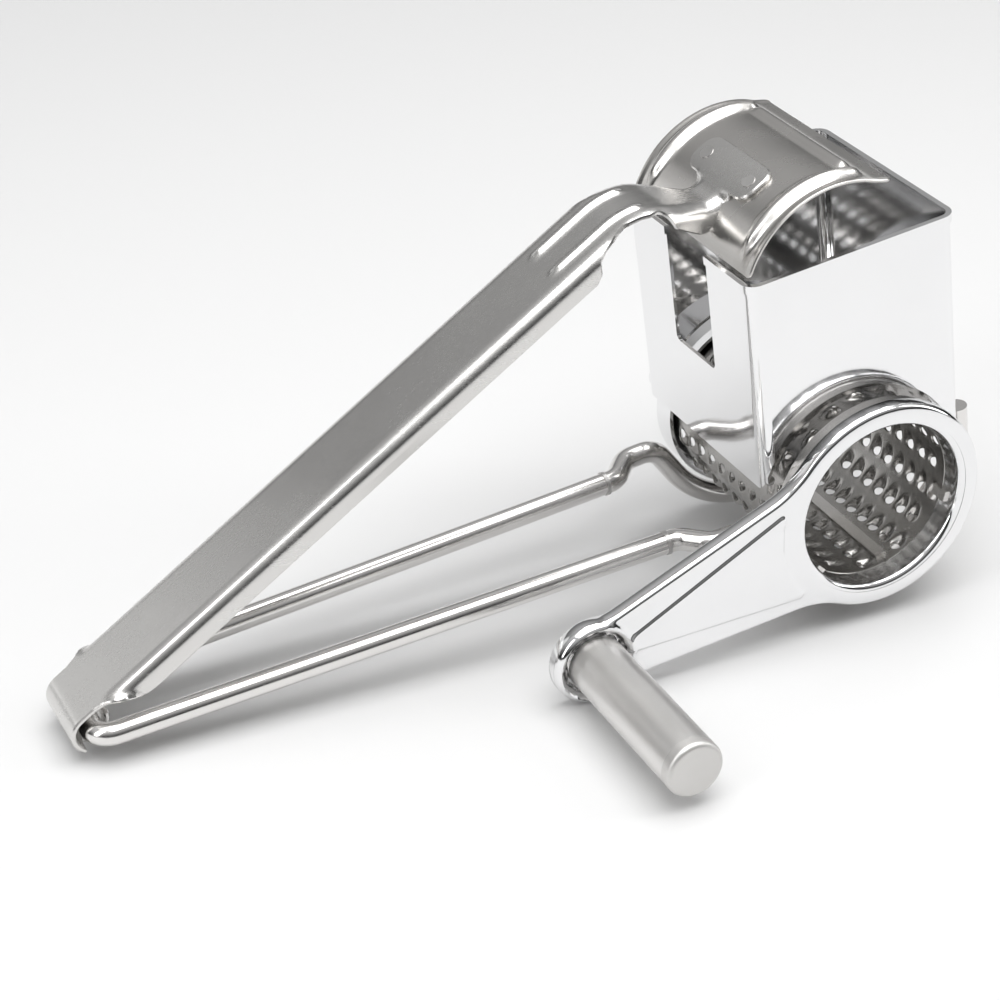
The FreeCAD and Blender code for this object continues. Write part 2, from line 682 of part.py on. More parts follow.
def offset_path(points, radii, shift):
    """The lever's middle line moved sideways by the shift, as edges in the XZ plane."""
    moved = []
    for i, point in enumerate(points):
        before = points[max(i - 1, 0)]
        after = points[min(i + 1, len(points) - 1)]
        d0 = (point - before) if i else (after - point)
        d1 = (after - point) if i < len(points) - 1 else (point - before)
        n0 = Vector(-d0.z, 0, d0.x).normalize()
        n1 = Vector(-d1.z, 0, d1.x).normalize()
        mid = (n0 + n1).normalize()
        moved.append(point + mid * (shift / mid.dot(n0)))
    turned = [r + shift * way for r, way in radii]
    return bent_edges(moved, turned)


def lever_blank():
    """Sheet of the lever from the curl to the foot, before its plan is trimmed."""
    tangent, peak, dip, foot, foot_angle, span = lever_points()
    points = [Vector(p.x, 0, p.z) for p in (tangent, peak, dip, foot)]
    radii = [(NECK_PEAK_R, 1), (NECK_DIP_R, -1)]
    half = LEVER_SHEET / 2
    upper = offset_path(points, radii, half)
    lower = offset_path(points, radii, -half)
    caps = []
    for i in (0, -1):
        ends = [edges[i].Vertexes[i].Point for edges in (upper, lower)]
        caps.append(Part.LineSegment(*ends).toShape())
    wire = Part.Wire(Part.__sortEdges__(upper + lower + caps))
    return extrude_y(wire, MID_Y - FOOT_WIDTH / 2, MID_Y + FOOT_WIDTH / 2)


def lever_plan():
    """Plan of the lever as a tall block: curl, channel, narrow neck."""
    tangent, peak, dip, foot, foot_angle, span = lever_points()
    curl = CURL_WIDTH / 2
    full = LEVER_WIDTH / 2
    neck = NECK_WIDTH / 2
    along = direction(LEVER_ANGLE)
    x_full = tangent.x + along.x * CHANNEL_START
    x_end = tangent.x + along.x * CHANNEL_END
    upper = [
        (tangent.x - 2 * CURL_R, curl, 0.5),
        (x_full - 9, curl, 4.0),
        (x_full - 3, full, 4.0),
        (x_end, full, 1.5),
        (x_end + 7, neck, 6.0),
        (foot.x + 1, neck, 0.5),
    ]
    corners = [(Vector(x, MID_Y + h, 0), r) for x, h, r in upper]
    corners += [(Vector(x, MID_Y - h, 0), r) for x, h, r in reversed(upper)]
    return Part.Face(rounded_outline(corners)).extrude(Vector(0, 0, 2 * HOPPER_RIM_Z))


def lever_channel():
    """Rounded U section along the straight part of the lever."""
    tangent = lever_points()[0]
    along = direction(LEVER_ANGLE)
    up = direction(LEVER_ANGLE + 90)
    side = Vector(0, LEVER_WIDTH / 2, 0)
    start = tangent + along * CHANNEL_START
    top = start + up * (LEVER_SHEET / 2)
    inner = top - up * LEVER_SHEET
    low = up * (LEVER_DEPTH - LEVER_SHEET)
    thin = Vector(0, LEVER_SHEET, 0)
    tail = 0.4
    corners = [
        (top + side, LEVER_CORNER_R),
        (inner + side - low, tail),
        (inner + side - thin - low, tail),
        (inner + side - thin, LEVER_CORNER_R - LEVER_SHEET),
        (inner - side + thin, LEVER_CORNER_R - LEVER_SHEET),
        (inner - side + thin - low, tail),
        (inner - side - low, tail),
        (top - side, LEVER_CORNER_R),
    ]
    face = Part.Face(rounded_outline(corners))
    channel = face.extrude(along * (CHANNEL_END - CHANNEL_START))
    return channel.cut([flange_taper(0, CHANNEL_START), flange_taper(1, CHANNEL_END)])


def flange_taper(end, distance):
    """Wedge that slopes the flanges off at one end of the channel."""
    tangent = lever_points()[0]
    away = -1 if end else 1
    top = -LEVER_SHEET / 2
    low = LEVER_SHEET / 2 - LEVER_DEPTH - 1
    points = [
        Vector(distance - away, 0, top),
        Vector(distance, 0, top),
        Vector(distance + away * TAPER_LENGTH, 0, low),
        Vector(distance - away, 0, low),
    ]
    wire = Part.makePolygon(points + points[:1])
    wire.rotate(ORIGIN, Y_AXIS, -LEVER_ANGLE)
    wire.translate(Vector(tangent.x, 0, tangent.z))
    return extrude_y(wire, MID_Y - LEVER_WIDTH, MID_Y + LEVER_WIDTH)


def channel_gap():
    """Block that clears the flat blank where the channel takes its place."""
    tangent = lever_points()[0]
    length = CHANNEL_END - CHANNEL_START
    block = Part.makeBox(length, 2 * FOOT_WIDTH, 4 * LEVER_SHEET)
    block.translate(Vector(CHANNEL_START, -FOOT_WIDTH, -2 * LEVER_SHEET))
    block.rotate(ORIGIN, Y_AXIS, -LEVER_ANGLE)
    block.translate(tangent)
    return block


def lever_curl():
    """Hook that wraps the crossbar: full width over the top and back, a narrow tongue beneath."""
    top = LEVER_ANGLE + 90
    middle = top + CURL_FULL_TURN
    end = top + CURL_TURN
    base = Vector(HINGE.x, 0, HINGE.z)
    full, _, _ = bent_sheet(
        base + direction(middle) * CURL_MID_R,
        middle - 90,
        [("bend", -CURL_FULL_TURN, CURL_MID_R)],
        LEVER_SHEET,
        CURL_WIDTH,
    )
    tongue, _, _ = bent_sheet(
        base + direction(end) * CURL_MID_R,
        end - 90,
        [("bend", -(CURL_TURN - CURL_FULL_TURN), CURL_MID_R)],
        LEVER_SHEET,
        TONGUE_WIDTH,
    )
    return [full, tongue]


def lever_foot():
    """Foot that lies on the press plate's arch, its corners rounded."""
    _, _, _, foot, foot_angle, span = lever_points()
    sheet, _, _ = bent_sheet(
        Vector(foot.x, 0, foot.z),
        foot_angle - 90,
        [("bend", -span, FOOT_MID_R)],
        LEVER_SHEET,
        FOOT_WIDTH,
    )
    return sheet.makeFillet(FOOT_CORNER_R, foot_corner_edges(sheet))


def foot_corner_edges(sheet):
    """The four short edges through the thickness of the foot."""
    return [e for e in sheet.Edges if abs(e.Length - LEVER_SHEET) < 1e-3]


def neck_flanks():
    """Turned-down flanks that stiffen the neck."""
    _, peak, dip, _, _, _ = lever_points()
    top = peak + (dip - peak) * 0.42
    bottom = dip + (peak - dip) * 0.12
    outline = [
        (Vector(top.x, 0, top.z), 0.3),
        (Vector(bottom.x, 0, bottom.z), 0.3),
        (Vector(bottom.x - 2.0, 0, bottom.z - NECK_FLANK), 1.5),
        (Vector(top.x + 1.5, 0, top.z - NECK_FLANK), 1.5),
    ]
    flanks = []
    for side in (1, -1):
        outer = MID_Y + side * NECK_WIDTH / 2
        inner = outer - side * LEVER_SHEET
        flanks.append(extrude_y(rounded_outline(outline), min(inner, outer), max(inner, outer)))
    return flanks


def press_lever():
    """Stamped lever in one piece: curl, channel, goose neck and foot."""
    blank = lever_blank().common(lever_plan()).cut(channel_gap())
    pieces = lever_curl() + [lever_channel(), lever_foot()] + neck_flanks()
    lever = blank.fuse(pieces).removeSplitter()
    return lever.cut(lever_spot_welds())


def lever_spot_welds():
    """Two spot welds that hold the foot to the press plate."""
    welds = []
    for side in (1, -1):
        axis = direction(FOOT_ANGLE)
        base = ARCH_CENTRE + axis * PLATE_ARCH_R + Vector(0, side * WELD_HALF_PITCH, 0)
        weld = Part.makeCylinder(WELD_R, LEVER_SHEET + WELD_RAISE, base, axis)
        shield = tube(PLATE_ARCH_R, 0, MID_Y - PLATE_WIDTH, MID_Y + PLATE_WIDTH, ARCH_CENTRE)
        welds.append(weld.cut(shield))
    return Part.makeCompound(welds)


# ---------------------------------------------------------------- press plate
def revolved_rib(radius, y):
    """Rod bent round the press plate's arch."""
    start = direction(RIB_START)
    centre = ARCH_CENTRE + start * (PLATE_ARCH_R - RIB_SINK)
    centre = Vector(centre.x, y, centre.z)
    circle = Part.makeCircle(radius, centre, start.cross(Y_AXIS))
    face = Part.Face(Part.Wire([circle]))
    return face.revolve(ARCH_CENTRE, Y_AXIS, RIB_START - RIB_END)


def cross_rib(radius):
    """Straight rod along the plate's hopper-side edge."""
    centre = ARCH_CENTRE + direction(CROSS_RIB_ANGLE) * (PLATE_ARCH_R - RIB_SINK)
    half = PLATE_WIDTH / 2 - CROSS_RIB_MARGIN
    return tube(radius, 0, MID_Y - half, MID_Y + half, centre)


def press_plate():
    """Arched plate that presses the cheese onto the drum, stiffened by stamped ribs."""
    start = Vector(PLATE_ARCH_X, 0, PLATE_ARCH_Z)
    start = start + direction(PLATE_ARCH_START) * (PLATE_ARCH_R - PLATE_SHEET / 2)
    moves = [
        ("bend", PLATE_ARCH_END - PLATE_ARCH_START, PLATE_ARCH_R - PLATE_SHEET / 2),
        ("bend", PLATE_LIP_FLARE, PLATE_LIP_R),
        ("run", PLATE_LIP),
    ]
    plate, _, _ = bent_sheet(start, PLATE_ARCH_START - 90, moves, PLATE_SHEET, PLATE_WIDTH)
    half = PLATE_WIDTH / 2
    core = tube(PLATE_ARCH_R - PLATE_SHEET / 2, 0, MID_Y - half - 1, MID_Y + half + 1, ARCH_CENTRE)
    outside = []
    hollows = []
    for side in (1, -1):
        y = MID_Y + side * (half - RIB_INSET)
        outside.append(revolved_rib(RIB_R, y).cut(core))
        hollows.append(revolved_rib(RIB_R - PLATE_SHEET, y))
    outside.append(cross_rib(RIB_R).cut(core))
    hollows.append(cross_rib(RIB_R - PLATE_SHEET))
    return plate.fuse(outside).cut(hollows).removeSplitter()


# ---------------------------------------------------------------- standing on a table
def lean_angle():
    """Lean that puts the curl and the cradle wires on one level."""
    distance = math.hypot(HINGE_X, HINGE_Z)
    below = math.asin((CRADLE_R + WIRE_R - CURL_R) / distance)
    return math.degrees(below + math.atan2(HINGE_Z, -HINGE_X))


def place(solid, lean, shift):
    """A copy of the solid, leaned and moved to the standing frame."""
    moved = solid.copy()
    moved.rotate(ORIGIN, Y_AXIS, -lean)
    moved.translate(shift)
    return moved


def build_nodes(crank_angle):
    """Every node in the working frame, by name."""
    nodes = {
        "hopper_shell": hopper_shell(),
        "handle_crossbar": handle_crossbar(),
        "handle_leg_near": handle_leg(-1),
        "handle_leg_far": handle_leg(1),
        "cradle_wire_near": cradle_wire(-1),
        "cradle_wire_far": cradle_wire(1),
        "wire_butt_welds": Part.makeCompound([wire_seam(-1), wire_seam(1)]),
        "press_lever": press_lever(),
        "press_plate": press_plate(),
        "lever_spot_welds": lever_spot_welds(),
    }
    turning = {
        "crank_plate": crank_plate(),
        "crank_collar": crank_collar(),
        "drum_shell": drum_shell(),
        "drum_seam_strip": drum_seam_strip(),
        "drum_end_band": drum_end_band(),
        "drum_fixing_tabs": drum_fixing_tabs(),
        "knob_pin": knob_pin(),
        "knob_washer": knob_washer(),
        "knob_retainer": knob_retainer(),
        "knob_inner_bush": knob_bush(SLEEVE_START),
        "knob_outer_bush": knob_bush(RETAINER_FRONT + RETAINER_THICK + KNOB_END_GAP + BUSH_LENGTH),
        "knob_sleeve": knob_sleeve(),
        "knob_end_cap": knob_end_cap(),
    }
    for name, solid in turning.items():
        solid.rotate(ORIGIN, Y_AXIS, -crank_angle)
        nodes[name] = solid
    return nodes


def main():
    """Build, lean, centre the footprint on the origin and write one file for each node."""
    lean = lean_angle()
    crank_angle = CRANK_REST - lean
    nodes = build_nodes(crank_angle)
    leaned = [place(solid, lean, ORIGIN) for solid in nodes.values()]
    box = Part.makeCompound(leaned).optimalBoundingBox(False)
    shift = Vector(-box.Center.x, -box.Center.y, -box.ZMin)
    for name, solid in nodes.items():
        place(solid, lean, shift).exportStep(f"parts/{name}.step")
    boss = Vector(-CRANK_LENGTH, 0, 0)
    marks = {
        "drum axis": place(Part.Vertex(ORIGIN), lean, shift),
        "hinge axis": place(Part.Vertex(HINGE), lean, shift),
        "hopper mouth": place(Part.Vertex(Vector(HOPPER_OFFSET_X, MID_Y, HOPPER_RIM_Z)), lean, shift),
    }
    knob = Part.Vertex(boss)
    knob.rotate(ORIGIN, Y_AXIS, -crank_angle)
    marks["knob axis"] = place(knob, lean, shift)
    print("size", [round(v, 2) for v in (box.XLength, box.YLength, box.ZLength)])
    print("lean", round(lean, 3), "crank", round(crank_angle, 3), "shift", shift)
    for name, mark in marks.items():
        print(name, mark.Point)


main()
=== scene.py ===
import json
import math

import bmesh
import bpy
import numpy as np
from mathutils import Matrix, Vector
from mathutils.geometry import delaunay_2d_cdt


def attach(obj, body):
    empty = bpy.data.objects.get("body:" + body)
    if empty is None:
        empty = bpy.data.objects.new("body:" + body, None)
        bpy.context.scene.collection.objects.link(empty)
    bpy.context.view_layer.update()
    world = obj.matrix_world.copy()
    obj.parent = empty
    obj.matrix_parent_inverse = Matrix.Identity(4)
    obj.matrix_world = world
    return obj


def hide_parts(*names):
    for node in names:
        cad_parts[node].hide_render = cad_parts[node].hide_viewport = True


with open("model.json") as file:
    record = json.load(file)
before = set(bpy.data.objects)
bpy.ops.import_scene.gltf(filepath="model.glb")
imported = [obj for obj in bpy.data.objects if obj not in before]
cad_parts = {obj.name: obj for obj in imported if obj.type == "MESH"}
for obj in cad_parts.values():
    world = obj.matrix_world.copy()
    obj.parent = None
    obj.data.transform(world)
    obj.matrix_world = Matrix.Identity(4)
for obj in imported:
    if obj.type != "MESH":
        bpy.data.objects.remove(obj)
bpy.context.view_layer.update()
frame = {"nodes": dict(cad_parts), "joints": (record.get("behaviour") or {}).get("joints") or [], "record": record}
NODES = frame["nodes"]

MM = 0.001
FINE_BUMP = 0.0008 * MM


# ------------------------------------------------------------------ materials
def steel(name, tint, rough, grain, wave, wear):
    """Stainless steel.  Grain is (angle from X in the XZ plane, strength, fineness), wave a slow ripple."""
    mat = bpy.data.materials.new(name)
    mat.use_nodes = True
    tree = mat.node_tree
    nodes, links = tree.nodes, tree.links
    bsdf = nodes["Principled BSDF"]
    bsdf.inputs["Metallic"].default_value = 1.0
    coords = nodes.new("ShaderNodeTexCoord")

    def noise(scale, detail, rough_, vector, loc=(0, 0, 0), rot=(0, 0, 0), stretch=(1, 1, 1)):
        mapping = nodes.new("ShaderNodeMapping")
        mapping.inputs["Location"].default_value = loc
        mapping.inputs["Rotation"].default_value = rot
        mapping.inputs["Scale"].default_value = stretch
        links.new(vector, mapping.inputs["Vector"])
        tex = nodes.new("ShaderNodeTexNoise")
        tex.inputs["Scale"].default_value = scale
        tex.inputs["Detail"].default_value = detail
        tex.inputs["Roughness"].default_value = rough_
        links.new(mapping.outputs["Vector"], tex.inputs["Vector"])
        return tex.outputs["Fac"]

    def ramp(value, low, high, start=0.0, end=1.0):
        node = nodes.new("ShaderNodeMapRange")
        node.inputs["From Min"].default_value = start
        node.inputs["From Max"].default_value = end
        node.inputs["To Min"].default_value = low
        node.inputs["To Max"].default_value = high
        links.new(value, node.inputs["Value"])
        return node.outputs["Result"]

    def add(a, b):
        node = nodes.new("ShaderNodeMath")
        node.operation = "ADD"
        links.new(a, node.inputs[0])
        links.new(b, node.inputs[1])
        return node.outputs[0]

    obj = coords.outputs["Object"]
    smudge = noise(38.0, 5.0, 0.62, obj)
    roughness = ramp(smudge, rough * (1 - 0.5 * wear), rough * (1 + 0.7 * wear), 0.3, 0.7)
    tone = ramp(smudge, 1 - 0.05 * wear, 1.0, 0.35, 0.65)
    if grain:
        angle, strength, fine = grain
        lines = noise(1.0, 3.0, 0.65, obj, (0, 0, 0), (0, math.radians(angle), 0), (40, fine, fine))
        roughness = add(roughness, ramp(lines, -0.35 * rough * strength, 0.35 * rough * strength, 0.3, 0.7))
        tone = add(tone, ramp(lines, -0.05 * strength, 0.04 * strength, 0.3, 0.7))
        height = ramp(lines, 0.0, strength)
    else:
        height = noise(420.0, 3.0, 0.6, obj)
    colour = nodes.new("ShaderNodeMix")
    colour.data_type = "RGBA"
    colour.inputs["A"].default_value = (0, 0, 0, 1)
    colour.inputs["B"].default_value = (*tint, 1)
    links.new(tone, colour.inputs["Factor"])
    colour.clamp_factor = False
    links.new(colour.outputs["Result"], bsdf.inputs["Base Color"])
    links.new(roughness, bsdf.inputs["Roughness"])
    normal = None
    if wave:
        slow = noise(26.0, 1.5, 0.4, obj, (0.3, 0.1, 0.7))
        bump = nodes.new("ShaderNodeBump")
        bump.inputs["Strength"].default_value = 1.0
        bump.inputs["Distance"].default_value = wave * MM
        links.new(slow, bump.inputs["Height"])
        normal = bump.outputs["Normal"]
    fine_bump = nodes.new("ShaderNodeBump")
    fine_bump.inputs["Strength"].default_value = 1.0
    fine_bump.inputs["Distance"].default_value = FINE_BUMP
    links.new(height, fine_bump.inputs["Height"])
    if normal:
        links.new(normal, fine_bump.inputs["Normal"])
    links.new(fine_bump.outputs["Normal"], bsdf.inputs["Normal"])
    return mat


# Finish: tint, roughness, grain, wave in mm, wear.
LOOKS = {
    "polished_sheet": ((0.88, 0.88, 0.885), 0.08, None, 0.05, 0.4),
    "polished_wire": ((0.78, 0.765, 0.75), 0.19, None, 0.0, 0.4),
    "brushed_sheet": ((0.70, 0.69, 0.675), 0.25, (-34, 0.3, 1500), 0.01, 0.3),
    "polished_crank": ((0.86, 0.86, 0.865), 0.11, None, 0.03, 0.4),
    "plate_satin": ((0.62, 0.605, 0.585), 0.26, None, 0.0, 0.3),
    "knob_satin": ((0.76, 0.75, 0.735), 0.36, (-52, 0.2, 1500), 0.0, 0.3),
    "cap_matte": ((0.68, 0.67, 0.655), 0.48, None, 0.0, 0.5),
    "satin_sheet": ((0.70, 0.685, 0.665), 0.22, None, 0.0, 0.4),
    "drum_satin": ((0.44, 0.43, 0.415), 0.22, None, 0.0, 0.4),
    "weld": ((0.60, 0.59, 0.58), 0.38, None, 0.0, 0.5),
    "knob_bush": ((0.10, 0.10, 0.10), 0.5, None, 0.0, 0.3),
}
MATS = {name: steel(name, *look) for name, look in LOOKS.items()}
# A piece's own finish: the record's material slot it belongs to, and the CAD nodes that wear it.
FINISH = {"knob_sleeve": "knob_satin", "knob_end_cap": "cap_matte"}
for part in frame["record"]["subparts"]:
    node = NODES[part["node"]]
    node.data.materials.clear()
    node.data.materials.append(MATS[FINISH.get(part["node"], part["material_slot"])])


# ------------------------------------------------------------------ placing and building meshes
# Pieces are drawn in millimetres in the grater's own frame: the drum turns about Y at x = z = 0, X runs
# from the hinge to the hopper.  Pieces on the crank are drawn with the arm along -X.
MID_Y = 36.85
HINGE = (-178.0, 1.4)
JOINTS = {j["name"]: Vector(j["pos_m"]) / MM for j in frame["joints"]}
DRUM_AT = JOINTS["drum_spin"]


def heading(a, b):
    return math.atan2(b.z - a.z, b.x - a.x)


LEAN = heading(DRUM_AT, JOINTS["lever_hinge"]) - math.atan2(HINGE[1], HINGE[0])
CRANK = heading(DRUM_AT, JOINTS["knob_spin"]) - math.pi


def place(points, angle):
    """Points in the standing frame, in metres, turned from X towards Z by the angle."""
    x, y, z = np.asarray(points, float).T
    c, s = math.cos(angle), math.sin(angle)
    moved = [x * c - z * s + DRUM_AT.x, y + DRUM_AT.y - MID_Y, x * s + z * c + DRUM_AT.z]
    return np.stack(moved, 1) * MM


def build(name, verts, faces, angle, body, slot, nodes, sharp=38):
    """One smooth-shaded piece that rides on a body and stands for CAD nodes."""
    mesh = bpy.data.meshes.new(name)
    mesh.from_pydata(place(verts, angle).tolist(), [], faces)
    obj = bpy.data.objects.new(name, mesh)
    bpy.context.scene.collection.objects.link(obj)
    bm = bmesh.new()
    bm.from_mesh(mesh)
    bmesh.ops.remove_doubles(bm, verts=bm.verts, dist=2e-6)
    bmesh.ops.recalc_face_normals(bm, faces=bm.faces)
    bm.to_mesh(mesh)
    bm.free()
    mesh.shade_smooth()
    mesh.set_sharp_from_angle(angle=math.radians(sharp))
    mesh.materials.append(MATS[slot])
    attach(obj, body)
    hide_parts(*nodes)


def area_of(loop):
    x, y = loop.T
    return 0.5 * float(np.sum(x * np.roll(y, -1) - y * np.roll(x, -1)))


def inside(points, loops):
    px, py = points.T
    state = np.zeros(len(points), bool)
    for loop in loops:
        for (a, b), (c, d) in zip(loop, np.roll(loop, -1, 0)):
            if b != d:
                state ^= ((b > py) != (d > py)) & (px < (c - a) * (py - b) / (d - b) + a)
    return state


def distance(points, loops):
    """Distance from points to the nearest edge of the closed loops."""
    best = np.full(len(points), 1e9)
    for loop in loops:
        for a, b in zip(loop, np.roll(loop, -1, 0)):
            run = b - a
            t = np.clip(((points - a) @ run) / max(run @ run, 1e-12), 0, 1)
            gap = points - a - t[:, None] * run
            best = np.minimum(best, np.einsum("ij,ij->i", gap, gap))
    return np.sqrt(best)


def resample(loop, step):
    """Closed loop with its long edges cut into steps."""
    made = []
    for a, b in zip(loop, np.roll(loop, -1, 0)):
        count = max(1, int(round(np.linalg.norm(b - a) / step)))
        made += [a + (b - a) * i / count for i in range(count)]
    return np.array(made)


def offset(loop, amount):
    """Loop moved to its left by the amount."""
    ahead = np.roll(loop, -1, 0) - loop
    behind = loop - np.roll(loop, 1, 0)
    ahead /= np.linalg.norm(ahead, axis=1)[:, None]
    behind /= np.linalg.norm(behind, axis=1)[:, None]
    normal = np.stack([-(ahead + behind)[:, 1], (ahead + behind)[:, 0]], 1)
    normal /= np.linalg.norm(normal, axis=1)[:, None]
    return loop + normal * amount


def mesh_plan(loops, spacing, insets, lines=()):
    """Triangles of a flat plan with holes, and each point's distance from the edges.

    Rings of points follow the edges at the insets, and the closed lines are kept as edges.
    """
    loops = [loop if (area_of(loop) > 0) == (i == 0) else loop[::-1] for i, loop in enumerate(loops)]
    low = loops[0].min(0)
    high = loops[0].max(0)
    rows = np.arange(low[1], high[1], spacing * 0.866)
    grid = []
    for i, v in enumerate(rows):
        us = np.arange(low[0] + (i % 2) * spacing / 2, high[0], spacing)
        grid.append(np.stack([us, np.full(len(us), v)], 1))
    grid = np.concatenate(grid)
    grid = grid[inside(grid, loops)]
    grid = grid[distance(grid, loops) > (insets[-1] if insets else 0) + 0.5 * spacing]
    rings = []
    for amount in insets:
        ring = np.concatenate([offset(loop, amount) for loop in loops])
        ring = ring[inside(ring, loops)]
        rings.append(ring[distance(ring, loops) > 0.93 * amount])
    if lines:
        grid = grid[distance(grid, lines) > 0.5 * spacing]
        rings = [ring[distance(ring, lines) > 0.25 * spacing] for ring in rings]
    points = np.concatenate(loops + list(lines) + rings + [grid])
    edges = []
    start = 0
    for loop in list(loops) + list(lines):
        count = len(loop)
        edges += [(start + i, start + (i + 1) % count) for i in range(count)]
        start += count
    out = delaunay_2d_cdt([Vector(p) for p in points.tolist()], edges, [], 0, 1e-5, False)
    plan = np.array([list(v) for v in out[0]])
    tris = np.array([list(f) for f in out[2]])
    middle = plan[tris].mean(1)
    tris = tris[inside(middle, loops)]
    return plan, tris, distance(plan, loops)


def rim_edges(tris):
    """Directed edges that belong to one triangle only."""
    seen = {}
    for a, b, c in tris.tolist():
        for edge in ((a, b), (b, c), (c, a)):
            if (edge[1], edge[0]) in seen:
                del seen[(edge[1], edge[0])]
            else:
                seen[edge] = True
    return list(seen)


def stamped(loops, spacing, surface, height, thick, chamfer=0.22):
    """Closed sheet from flat loops (u, v): raised by height, laid on surface(u, v, h)."""
    plan, tris, gap = mesh_plan(loops, spacing, [chamfer])
    u, v = plan.T
    drop = np.where(gap < 1e-3, chamfer, 0)
    raised = height(u, v)
    top = surface(u, v, raised + thick / 2 - drop)
    low = surface(u, v, raised - thick / 2 + drop)
    count = len(plan)
    faces = tris.tolist() + [(c + count, b + count, a + count) for a, b, c in tris.tolist()]
    faces += [(b, a, a + count, b + count) for a, b in rim_edges(tris)]
    return np.concatenate([top, low]), faces


def smooth(x, a, b):
    """0 before a, 1 after b, smooth between."""
    t = np.clip((x - a) / (b - a), 0, 1)
    return t * t * (3 - 2 * t)


def hump(x, half):
    """Rounded ridge, 1 in the middle and 0 from half outwards."""
    return np.where(np.abs(x) < half, np.cos(np.clip(x / half, -1, 1) * math.pi / 2) ** 2, 0)


def revolve(profile, centre, count=144):
    """Closed ring swept round an axis along Y from (radius, y) points."""
    verts = []
    for i in range(count):
        a = 2 * math.pi * i / count
        verts += [(centre[0] + r * math.cos(a), y, centre[1] + r * math.sin(a)) for r, y in profile]
    n = len(profile)
    faces = []
    for i in range(count):
        for j in range(n):
            a, b = i * n + j, i * n + (j + 1) % n
            c, d = ((i + 1) % count) * n + (j + 1) % n, ((i + 1) % count) * n + j
            faces.append((a, b, c, d))
    return np.array(verts), faces


def joined(*pieces):
    verts, faces, start = [], [], 0
    for v, f in pieces:
        verts.append(np.asarray(v, float))
        faces += [tuple(i + start for i in face) for face in f]
        start += len(v)
    return np.concatenate(verts), faces


def corner_round(corners, step=6):
    """Closed loop from (x, y, radius) corners, with points about every step degrees."""
    made = []
    count = len(corners)
    for i, (x, y, radius) in enumerate(corners):
        p = np.array([x, y], float)
        if radius <= 0:
            made.append(p)
            continue
        a = np.array(corners[i - 1][:2], float) - p
        b = np.array(corners[(i + 1) % count][:2], float) - p
        a /= np.linalg.norm(a)
        b /= np.linalg.norm(b)
        half = math.acos(np.clip(a @ b, -1, 1)) / 2
        reach = radius / math.tan(half)
        middle = p + (a + b) / np.linalg.norm(a + b) * radius / math.sin(half)
        start, end = p + a * reach - middle, p + b * reach - middle
        turn = math.atan2(start[0] * end[1] - start[1] * end[0], start @ end)
        steps = max(2, int(abs(math.degrees(turn)) / step))
        for k in range(steps + 1):
            t = turn * k / steps
            c, s = math.cos(t), math.sin(t)
            made.append(middle + np.array([start[0] * c - start[1] * s, start[0] * s + start[1] * c]))
    return np.array(made)


# ------------------------------------------------------------------ drum with hooded teeth
DRUM_R = 20.5
DRUM_SHEET = 0.5
DRUM_START, DRUM_END = 5.9, 63.2
SEAM_AT = 180 + 92
TOOTH_RISE = 1.05
TOOTH_ROWS = 17
TOOTH_COLUMNS = 11
TOOTH_TURN = 20.8
TOOTH_PITCH = 4.6
TOOTH_FIRST = 2.8
TOOTH_HALF = 1.35
HOLE_HALF = (0.95, 1.3)
HOLE_BACK = 0.5


def tooth_table(around):
    """Places of the teeth on the unrolled drum, rows staggered by half a pitch."""
    first = SEAM_AT + 180 - TOOTH_TURN * 8
    table = []
    for row in range(TOOTH_ROWS):
        for column in range(TOOTH_COLUMNS - row % 2):
            y = DRUM_START + TOOTH_FIRST + (column + (row % 2) / 2) * TOOTH_PITCH
            table.append((math.radians(first + row * TOOTH_TURN - SEAM_AT) * DRUM_R % around, y))
    return table


def drum():
    round_mid = DRUM_R - DRUM_SHEET / 2
    around = 2 * math.pi * DRUM_R
    seam = math.radians(SEAM_AT)
    table = tooth_table(around)

    def surface(u, v, h):
        a = seam + u / DRUM_R
        r = round_mid + h
        return np.stack([r * np.cos(a), v, r * np.sin(a)], 1)

    def height(u, v):
        h = np.zeros(len(u))
        for tu, tv in table:
            near = np.abs(v - tv) < TOOTH_PITCH / 2
            a = u[near] - tu
            b = v[near] - tv
            width = TOOTH_HALF - 0.16 * np.clip(a, 0, 4)
            crest = smooth(a, -1.7, 0.3) * (1 - smooth(a, 0.9, 4.0))
            side = np.clip(1 - (b / (width * 1.45)) ** 2, 0, 1) ** 1.6
            h[near] = np.maximum(h[near], TOOTH_RISE * crest * side)
        return h

    corners = [(0.0, DRUM_START), (around, DRUM_START), (around, DRUM_END), (0.0, DRUM_END)]
    outer = resample(np.array(corners), 0.9)
    a = np.linspace(0, 2 * math.pi, 15)[:-1]
    holes = []
    for tu, tv in table:
        hole_u = tu + HOLE_HALF[0] * np.cos(a) - HOLE_BACK
        holes.append(np.stack([hole_u, tv + HOLE_HALF[1] * np.sin(a)], 1))
    verts, faces = stamped([outer] + holes, 0.62, surface, height, DRUM_SHEET, 0.12)
    build("grater_drum", verts, faces, CRANK, "drum", "drum_satin", ["drum_shell"], 42)


# ------------------------------------------------------------------ press plate
ARCH = (-0.9, 52.0)
PLATE_HALF = 25.25
PLATE_R = 24.0
PLATE_SHEET = 0.8
PLATE_FROM, PLATE_TURN = 157.0, 92.0
RIB_IN = 4.6
RIB_RISE, CROSS_RISE, BORDER_RISE = 1.45, 1.4, 0.3


